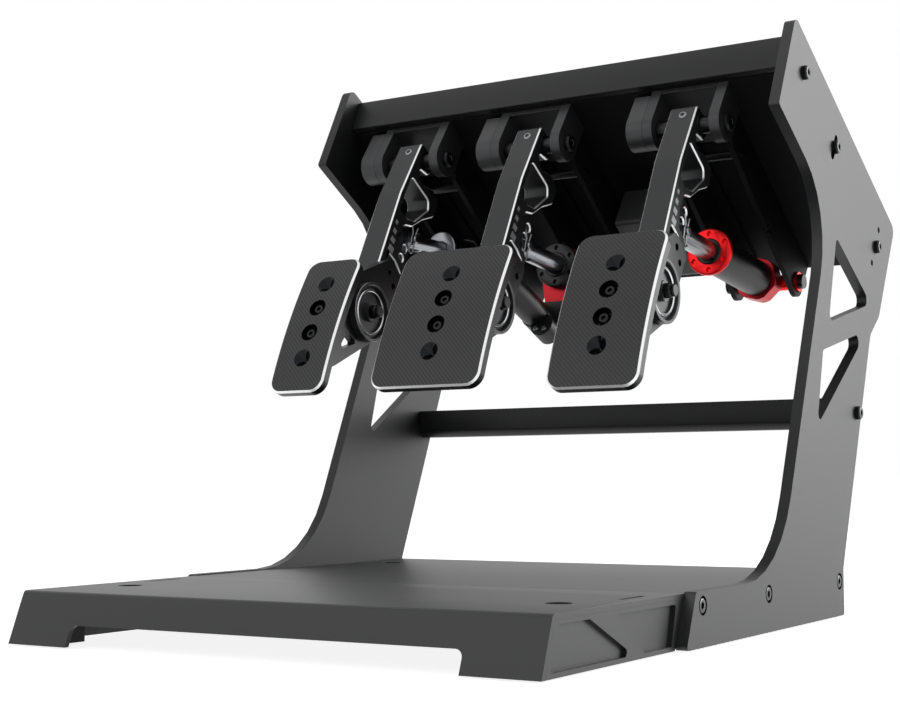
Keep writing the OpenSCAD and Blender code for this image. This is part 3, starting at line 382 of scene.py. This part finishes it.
# Edges cut through the black skin, silver where they are fresh; the grey edges of the pins, bolts and motor
# rims are painted highlight
CUT_EDGE = brushed("bright_cut_aluminium", "#e8e9ea", "#fafafa", metallic=1.0, roughness=0.42, pitch=0.4)
GREY_EDGE_HIGHLIGHT = brushed("painted_grey_edge_highlight", "#7c7d80", "#9c9da0", metallic=0.9, roughness=0.4, pitch=0.4)
# Grey-black plastic, dull rubber and the ink of the marks
PLASTIC = moulded("black_moulded_plastic", "#4a4b4d", "#535456", roughness=0.42, grain=0.6)
RUBBER = moulded("moulded_rubber", "#191a1a", "#202121", roughness=0.7, grain=0.9)
WHITE_MARK = moulded("white_ink", "#f6f6f6", "#ffffff", roughness=0.5, grain=0.5)

# The finish of each material slot of the record
FINISHES = {
    "powder_coat": COAT,
    "black_anodised": BLACK,
    "black_plastic": PLASTIC,
    "carbon_face": BLACK,
    "bright_steel": BRIGHT,
    "black_steel": OXIDE,
    "spring_steel": SPRING,
    "red_anodised": RED,
    "rubber": RUBBER,
}


def finish_nodes():
    """Gives each CAD node the finish of its slot, and then the nodes that differ their own."""
    for part in frame["record"]["subparts"]:
        piece = frame["nodes"][part["node"]]
        piece.data.materials.clear()
        piece.data.materials.append(FINISHES[part["material_slot"]])
    # The panel and the pedals' side plates take the near-black paint, painted shade
    own = {"throttle_end_cap": DEEP_RED, "mount_panel": MATTE_SHADE, "spacer_rods": OXIDE}
    # The fascia, the cross bar and the left plate take the darker coat, painted shade
    for node in ("front_fascia", "cross_bar", "left_side_plate"):
        own[node] = SHADED_COAT
    for pedal in PEDALS:
        own[pedal + "_bushes"] = OXIDE
        own[pedal + "_side_plates"] = MATTE_SHADE
        own[pedal + "_bracket"] = BRACKET_BLACK
        own[pedal + "_cylinder"] = TUBE_BLACK
    for node, material in own.items():
        frame["nodes"][node].data.materials[0] = material


# Modelling helpers. Edges sharper than these angles are bevelled, a normal this near to an axis counts as
# facing that way, and points closer than these lengths or faces flatter than COPLANAR become one.
SHARP_EDGE = math.radians(40)
RIM_EDGE = math.radians(28)
FLAT = 0.999
FACING = 0.9
MERGE = 0.002
SPIN_MERGE = 0.001
COPLANAR = math.radians(0.4)


def only(piece):
    """Selects one piece and makes it the active one."""
    bpy.ops.object.select_all(action="DESELECT")
    piece.select_set(True)
    bpy.context.view_layer.objects.active = piece


def mode(name):
    """Goes into EDIT or OBJECT mode."""
    bpy.ops.object.mode_set(mode=name)


def copy_of(node, name):
    """A new piece from a CAD node's mesh: its loose triangles merged, and its flat faces made whole again."""
    only(frame["nodes"][node])
    bpy.ops.object.duplicate()
    piece = bpy.context.object
    piece.name = name
    piece.data.name = name
    piece.parent = None
    piece.matrix_world = Matrix.Identity(4)
    # The frame's own notes on the node don't belong to the copy
    for key in list(piece.keys()):
        del piece[key]
    if piece.data.has_custom_normals:
        bpy.ops.mesh.customdata_custom_splitnormals_clear()
    mode("EDIT")
    bpy.ops.mesh.select_mode(type="VERT")
    bpy.ops.mesh.select_all(action="SELECT")
    bpy.ops.mesh.remove_doubles(threshold=MERGE * MM)
    bpy.ops.mesh.select_all(action="SELECT")
    bpy.ops.mesh.dissolve_limited(angle_limit=COPLANAR)
    mode("OBJECT")
    return piece


def slot_of(piece, material):
    """The slot of a material on a piece, added if the piece doesn't have it yet."""
    if material.name not in piece.data.materials:
        piece.data.materials.append(material)
    return piece.data.materials.find(material.name)


def bevel_where(piece, chosen, width, material=None, segments=1, clamp=True):
    """Bevels the edges that chosen(edge, face, face) picks, in a material, or else in that of their faces."""
    slot = slot_of(piece, material) if material else -1
    only(piece)
    mode("EDIT")
    bpy.ops.mesh.select_mode(type="EDGE")
    bpy.ops.mesh.select_all(action="DESELECT")
    mesh = bmesh.from_edit_mesh(piece.data)
    mesh.normal_update()
    for edge in mesh.edges:
        edge.select_set(len(edge.link_faces) == 2 and edge.is_convex and chosen(edge, *edge.link_faces))
    bmesh.update_edit_mesh(piece.data)
    bpy.ops.mesh.bevel(offset=width * MM, segments=segments, profile=0.5, affect="EDGES", material=slot,
                       clamp_overlap=clamp)
    mode("OBJECT")


def sharp(edge, a, b):
    """Picks every sharp edge, as on a plate or a turned piece."""
    return a.normal.angle(b.normal, 0) > SHARP_EDGE


def rim(edge, a, b):
    """Picks the sharp edges round a face that looks along X, as a pin's or an arm's flat sides do."""
    flat = (abs(a.normal.x) > FLAT) + (abs(b.normal.x) > FLAT)
    return flat == 1 and a.normal.angle(b.normal, 0) > RIM_EDGE


def smooth(piece, angle=30):
    """Shades a piece smooth, but for edges sharper than the angle in degrees."""
    only(piece)
    bpy.ops.object.shade_smooth_by_angle(angle=math.radians(angle))


def seat(piece, node):
    """Gives a piece the body of a CAD node."""
    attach(piece, frame["nodes"][node]["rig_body"])


def dress(node, chosen, width, material=None, clamp=True):
    """Replaces a CAD node by its own shape with bevelled edges, in their own material where one is given."""
    piece = copy_of(node, node + "_finished")
    bevel_where(piece, chosen, width, material, clamp=clamp)
    smooth(piece)
    seat(piece, node)
    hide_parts(node)
    return piece


def finish_faces(piece, material, chosen):
    """Gives the faces that chosen(face) picks a material."""
    slot = slot_of(piece, material)
    only(piece)
    mode("EDIT")
    bpy.ops.mesh.select_mode(type="FACE")
    bpy.ops.mesh.select_all(action="DESELECT")
    mesh = bmesh.from_edit_mesh(piece.data)
    for face in mesh.faces:
        face.select_set(chosen(face))
    bmesh.update_edit_mesh(piece.data)
    piece.active_material_index = slot
    bpy.ops.object.material_slot_assign()
    mode("OBJECT")


def add_piece(name, body, material):
    """Takes the object just made as a finished piece: its place goes into its mesh."""
    piece = bpy.context.object
    piece.name = name
    piece.data.name = name
    bpy.ops.object.transform_apply(location=True, rotation=True, scale=True)
    piece.data.materials.append(material)
    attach(piece, body)
    return piece


def cut(piece, cutter):
    """Takes the cutter's shape out of the piece."""
    only(piece)
    bpy.ops.object.modifier_add(type="BOOLEAN")
    taken = piece.modifiers[-1]
    taken.operation = "DIFFERENCE"
    taken.solver = "EXACT"
    taken.object = cutter
    bpy.ops.object.modifier_apply(modifier=taken.name)
    bpy.data.objects.remove(cutter)


def new_mesh(name, points, edges, faces):
    """A new object from points in metres, left active in edit mode with all of it selected."""
    mesh = bpy.data.meshes.new(name)
    mesh.from_pydata(points, edges, faces)
    piece = bpy.data.objects.new(name, mesh)
    bpy.context.collection.objects.link(piece)
    only(piece)
    mode("EDIT")
    bpy.ops.mesh.select_all(action="SELECT")
    return piece


def close_mesh():
    """Turns the faces of the closed shape in edit mode outwards, and leaves edit mode."""
    bpy.ops.mesh.select_all(action="SELECT")
    bpy.ops.mesh.normals_make_consistent(inside=False)
    mode("OBJECT")


def turned(outline, place, steps=48):
    """A part turned round Z from a closed outline of (radius, height) in millimetres, set at a place."""
    points = [(r * MM, 0, z * MM) for r, z in outline]
    piece = new_mesh("turned", points, [(i, (i + 1) % len(points)) for i in range(len(points))], [])
    bpy.ops.mesh.spin(steps=steps, angle=2 * math.pi, center=(0, 0, 0), axis=(0, 0, 1))
    bpy.ops.mesh.select_all(action="SELECT")
    bpy.ops.mesh.remove_doubles(threshold=SPIN_MERGE * MM)
    close_mesh()
    piece.matrix_world = place
    return piece


def wire(points, radius):
    """A bent wire through points in metres, as a mesh, its radius in millimetres."""
    bpy.ops.object.select_all(action="DESELECT")
    curve = bpy.data.curves.new("wire", "CURVE")
    curve.dimensions = "3D"
    curve.bevel_depth = radius * MM
    curve.bevel_resolution = 2
    curve.use_fill_caps = True
    spline = curve.splines.new("BEZIER")
    spline.bezier_points.add(len(points) - 1)
    for knot, place in zip(spline.bezier_points, points):
        knot.co = place
        knot.handle_left_type = knot.handle_right_type = "AUTO"
    spline.resolution_u = 6
    piece = bpy.data.objects.new("wire", curve)
    bpy.context.collection.objects.link(piece)
    only(piece)
    bpy.ops.object.convert(target="MESH")


# Parts of each pedal

def dress_motor(pedal):
    """The vibration motor's cup, with a bright inner rim and a grey outer one, a painted highlight."""
    middle = under(pedal, 0, *MOTOR_AT)

    def between(low, high):
        def chosen(edge, a, b):
            place = (edge.verts[0].co + edge.verts[1].co) / 2
            out = math.hypot(place.y - middle.y, place.z - middle.z) / MM
            return low < out < high and rim(edge, a, b)
        return chosen
    piece = dress(pedal + "_haptic", between(*MOTOR_INNER_RIM), MOTOR_INNER_BEVEL, CUT_EDGE)
    bevel_where(piece, between(*MOTOR_OUTER_RIM), MOTOR_OUTER_BEVEL, GREY_EDGE_HIGHLIGHT)
    smooth(piece)


def bore(pad, s, low_r, top_r, top, depth, sides=64):
    """Cuts a straight or tapered hole into a flat pad, s below its middle."""
    bpy.ops.mesh.primitive_cone_add(vertices=sides, radius1=low_r * MM, radius2=top_r * MM, depth=depth * MM,
                                    location=(0, -s * MM, (top - depth / 2) * MM))
    cut(pad, bpy.context.object)


def cut_holes(pad, holes):
    """The two open cones and, between them, the two recesses for the screws, with their smooth walls."""
    for s in holes[::3]:
        bore(pad, s, *CONE)
    for s in holes[1:3]:
        bore(pad, s, *RECESS)
        bore(pad, s, *SHANK_HOLE, sides=32)

    def in_a_hole(face):
        x, y, z = face.calc_center_median() / MM
        inside = any(math.hypot(x, y + s) < HOLE_R + HOLE_MARGIN for s in holes)
        return inside and FACE_MARGIN - PAD_T < z < -FACE_MARGIN
    finish_faces(pad, HOLE_BLACK, in_a_hole)


def make_pad(pedal):
    """A pad: a rounded plate with a carbon face, chamfer and holes, cut flat and then bent to its curve."""
    bpy.ops.object.select_all(action="DESELECT")
    w, length = PAD_W[pedal] * MM, PAD_L[pedal] * MM
    middle = -(PAD_TOP + PAD_L[pedal] / 2) * MM
    bpy.ops.mesh.primitive_cube_add(size=1, location=(0, middle, -PAD_T / 2 * MM),
                                    scale=(w, length, PAD_T * MM))
    pad = add_piece(pedal + "_pad_finished", pedal + "_arm", BLACK)
    bevel_where(pad, lambda edge, a, b: abs((edge.verts[0].co - edge.verts[1].co).z) > MM, PAD_CORNER,
                segments=PAD_CORNER_STEPS)
    finish_faces(pad, CARBON, lambda face: face.normal.z > FACING)
    bevel_where(pad, lambda edge, a, b: max(a.normal.z, b.normal.z) > FACING, PAD_CHAMFER, CUT_EDGE)
    bevel_where(pad, lambda edge, a, b: min(a.normal.z, b.normal.z) < -FACING, PAD_BACK_EDGE, BLACK)
    cut_holes(pad, [s + HOLE_SHIFT[pedal] for s in PAD_HOLES])
    only(pad)
    mode("EDIT")
    y = middle - length / 2 + PAD_BEND_STEP * MM
    while y < middle + length / 2 - PAD_BEND_STEP / 2 * MM:
        bpy.ops.mesh.select_all(action="SELECT")
        bpy.ops.mesh.bisect(plane_co=(0, y, 0), plane_no=(0, 1, 0))
        y += PAD_BEND_STEP * MM
    mode("OBJECT")
    for vertex in pad.data.vertices:
        x, y, z = vertex.co / MM
        vertex.co = onto_pad(pedal, x, -y, z)
    smooth(pad, angle=35)
    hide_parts(pedal + "_pad")


def make_set_screw(pedal):
    """The set screw over the pivot, in the arm's front face."""
    screw = turned(SET_SCREW, arm_face_place(under(pedal, *SET_SCREW_AT)), steps=32)
    add_piece(pedal + "_set_screw", pedal + "_arm", BRIGHT)
    smooth(screw)


def make_hairpin_clip(pedal):
    """The hairpin clip through the clevis pin, beside the fork."""
    c, s = math.cos(CLIP_LEAN), math.sin(CLIP_LEAN)
    x, u, v = FORK_SIDE + CLIP_BESIDE, CLEVIS_U, CLEVIS_V[pedal]
    bends = [under(pedal, x, u + b * c + a * s, v + a * c - b * s) for b, a in CLIP_BENDS]
    wire(bends, CLIP_WIRE_R)
    add_piece(pedal + "_hairpin_clip", pedal + "_arm", BRIGHT)


def make_marks(pedal):
    """The thin inked marks beside the pin holes, on the arm's right side."""
    for k, (u, v, w, h) in enumerate(MARKS):
        name = f"{pedal}_mark_{k + 1}"
        corners = ((u - w / 2, v + h / 2), (u + w / 2, v + h / 2),
                   (u + w / 2, v - h / 2), (u - w / 2, v - h / 2))
        new_mesh(name, [under(pedal, ARM_HALF, *corner) for corner in corners], [], [(0, 1, 2, 3)])
        bpy.ops.mesh.extrude_region_move(TRANSFORM_OT_translate={"value": (MARK_T * MM, 0, 0)})
        close_mesh()
        add_piece(name, pedal + "_arm", WHITE_MARK)


def make_spindle(pedal):
    """The capped spindle that stands out of the vibration motor."""
    place = Matrix.Translation(under(pedal, MOTOR_TOP, *MOTOR_AT)) @ Matrix.Rotation(math.pi / 2, 4, "Y")
    spindle = turned(SPINDLE, place, steps=32)
    add_piece(pedal + "_motor_spindle", pedal + "_arm", OXIDE)
    smooth(spindle)


def make_seal(pedal):
    """The black wiper seal where the rod enters the damper. The clutch has a nut there instead."""
    r = ROD_R + SEAL_GAP
    nose, foot = r + SEAL_NOSE, r + SEAL_FOOT
    top, step = FLANGE_AT - SEAL_H, FLANGE_AT - SEAL_FOOT_H
    outline = ((r, top), (nose, top), (foot, step), (foot, FLANGE_AT), (r, FLANGE_AT))
    seal = turned(outline, damper_place(pedal))
    add_piece(pedal + "_wiper_seal", pedal + "_damper", OXIDE)
    smooth(seal)


def make_pedal(pedal):
    """One pedal: its CAD pieces with their edges, its pad and its small parts."""
    for node in ("_bracket", "_side_plates", "_sensor", "_flange", "_end_cap", "_cylinder", "_rod"):
        dress(pedal + node, sharp, PIECE_BEVEL)
    arm = dress(pedal + "_arm", rim, ARM_BEVEL, CUT_EDGE, clamp=False)
    arm.data.materials[0] = ARM_BLACK
    dress(pedal + "_pad_bracket", rim, PAD_BRACKET_BEVEL, CUT_EDGE)
    dress(pedal + "_pad_screws", sharp, PAD_SCREW_BEVEL)
    dress_motor(pedal)
    make_pad(pedal)
    make_set_screw(pedal)
    make_hairpin_clip(pedal)
    make_marks(pedal)
    make_spindle(pedal)
    if pedal != "clutch":
        make_seal(pedal)


# Pieces that differ from pedal to pedal

def dress_rear_pins():
    """The dampers' rear pins: red washers and collars, with black bolt heads at both ends and grey rims, a
    painted highlight.
    """
    def past_nut(place):
        return min(abs(place.x / MM - middle) for middle in PEDAL_X.values()) - REAR_NUT
    piece = dress("rear_pins",
                  lambda edge, a, b: past_nut(edge.verts[0].co) > HEAD_RIM_PAST_NUT and rim(edge, a, b),
                  PIN_BEVEL, GREY_EDGE_HIGHLIGHT)

    def on_head(face):
        return past_nut(face.calc_center_median()) > HEAD_PAST_NUT and face.material_index == 0
    finish_faces(piece, OXIDE, on_head)


def plain_tube():
    """Takes the charging valve, which the photograph doesn't show, off the throttle's tube."""
    inner, outer = TUBE_R + VALVE_CLEAR, TUBE_R + VALVE_REACH
    outline = ((inner, VALVE_FROM), (outer, VALVE_FROM), (outer, VALVE_TO), (inner, VALVE_TO))
    ring = turned(outline, damper_place("throttle"), steps=96)
    tube = bpy.data.objects["throttle_cylinder_finished"]
    cut(tube, ring)
    smooth(tube)


def dress_reservoir():
    """The brake's second cylinder: black, with a dark red clamp and two screws in its end block."""
    home = damper_place("brake")
    back = home.inverted()
    piece = dress("brake_reservoir", sharp, PIECE_BEVEL)
    mode("EDIT")
    bpy.ops.mesh.select_all(action="SELECT")
    bpy.ops.mesh.bisect(plane_co=home @ Vector((0, CLAMP_LOW * MM, COLLAR_FROM * MM)),
                        plane_no=home.to_3x3() @ Vector((0, 1, 0)))
    mode("OBJECT")

    def on_clamp(face):
        place = back @ face.calc_center_median() / MM
        return COLLAR_FROM - COLLAR_SLACK < place.z < COLLAR_TO + COLLAR_SLACK and place.y < CLAMP_LOW
    finish_faces(piece, DEEP_RED, on_clamp)
    tilted = home @ Matrix.Translation(Vector(RESERVOIR_AT) * MM) @ Matrix.Rotation(-RESERVOIR_TILT, 4, "X")
    for k, (x, y) in enumerate(BLOCK_SCREWS):
        at = Matrix.Translation(Vector((x, y, END_BLOCK_AT)) * MM)
        screw = turned(BLOCK_SCREW, tilted @ at @ Matrix.Rotation(math.pi, 4, "X"), steps=24)
        add_piece(f"brake_reservoir_screw_{k + 1}", "brake_damper", BRIGHT)
        smooth(screw)


# Floor and light

def seen_directly(tree):
    """1 where a ray comes from the camera or a mirror-like surface, 0 for the light that spreads about."""
    most = {"operation": "MAXIMUM"}
    path = add(tree, "LightPath")
    seen = add(tree, "Math", most, i0=(path, "Is Camera Ray"), i1=(path, "Is Glossy Ray"))
    return add(tree, "Math", most, i0=(seen, "Value"), i1=(path, "Is Transmission Ray"))


def lay_floor():
    """A white floor that keeps the object's shadow, and throws less light back up than it shows."""
    bpy.ops.object.select_all(action="DESELECT")
    bpy.ops.mesh.primitive_plane_add(size=FLOOR_SIZE, location=FLOOR_AT)
    floor = bpy.context.object
    floor.name = "studio_floor"
    material = bpy.data.materials.new("studio_floor_white")
    material.use_nodes = True
    tree = material.node_tree
    tree.nodes.clear()
    seen = seen_directly(tree)
    shown = add(tree, "BsdfDiffuse", Color=linear("#ffffff"))
    glow = add(tree, "Emission", Color=linear("#ffffff"), Strength=FLOOR_GLOW)
    white = add(tree, "AddShader", i0=(shown, "BSDF"), i1=(glow, "Emission"))
    dim = add(tree, "BsdfDiffuse", Color=linear("#333333"))
    both = add(tree, "MixShader", i0=(seen, "Value"), i1=(dim, "BSDF"), i2=(white, "Shader"))
    add(tree, "OutputMaterial", Surface=(both, "Shader"))
    floor.data.materials.append(material)


def area_light(name, at, aim, size, power):
    """A rectangular lamp at a place, turned to what it lights."""
    light = bpy.data.lights.new(name, "AREA")
    light.shape = "RECTANGLE"
    light.size, light.size_y = size
    light.energy = power
    lamp = bpy.data.objects.new(name, light)
    lamp.location = at
    lamp.rotation_euler = (Vector(aim) - Vector(at)).to_track_quat("-Z", "Y").to_euler()
    bpy.context.collection.objects.link(lamp)


def light_scene():
    """A room that looks white but lights softly, with a large key lamp and a weak fill."""
    world = bpy.data.worlds.new("studio")
    world.use_nodes = True
    tree = world.node_tree
    tree.nodes.clear()
    seen = seen_directly(tree)
    soft = add(tree, "Background", Color=linear("#ffffff"), Strength=ROOM_LIGHT)
    backdrop = add(tree, "Background", Color=linear("#ffffff"), Strength=BACKDROP_LIGHT)
    both = add(tree, "MixShader", i0=(seen, "Value"), i1=(soft, "Background"), i2=(backdrop, "Background"))
    add(tree, "OutputWorld", Surface=(both, "Shader"))
    bpy.context.scene.world = world
    bpy.context.scene.view_settings.view_transform = "Standard"
    for name, lamp in LAMPS.items():
        area_light(name, *lamp)


place_camera()
lay_floor()
light_scene()
finish_nodes()

for node in ("left_side_plate", "right_side_plate", "front_deck", "rear_deck", "deck_rails", "cross_bar",
             "front_fascia", "mount_panel"):
    dress(node, sharp, SHEET_BEVEL)
# The rims of the pins and bolts are grey: painted highlight on their black edges
dress("pivot_pins", rim, PIN_BEVEL, GREY_EDGE_HIGHLIGHT)
dress("frame_bolts", rim, BOLT_BEVEL, GREY_EDGE_HIGHLIGHT)
for pedal in PEDALS:
    make_pedal(pedal)
dress_reservoir()
dress_rear_pins()
plain_tube()
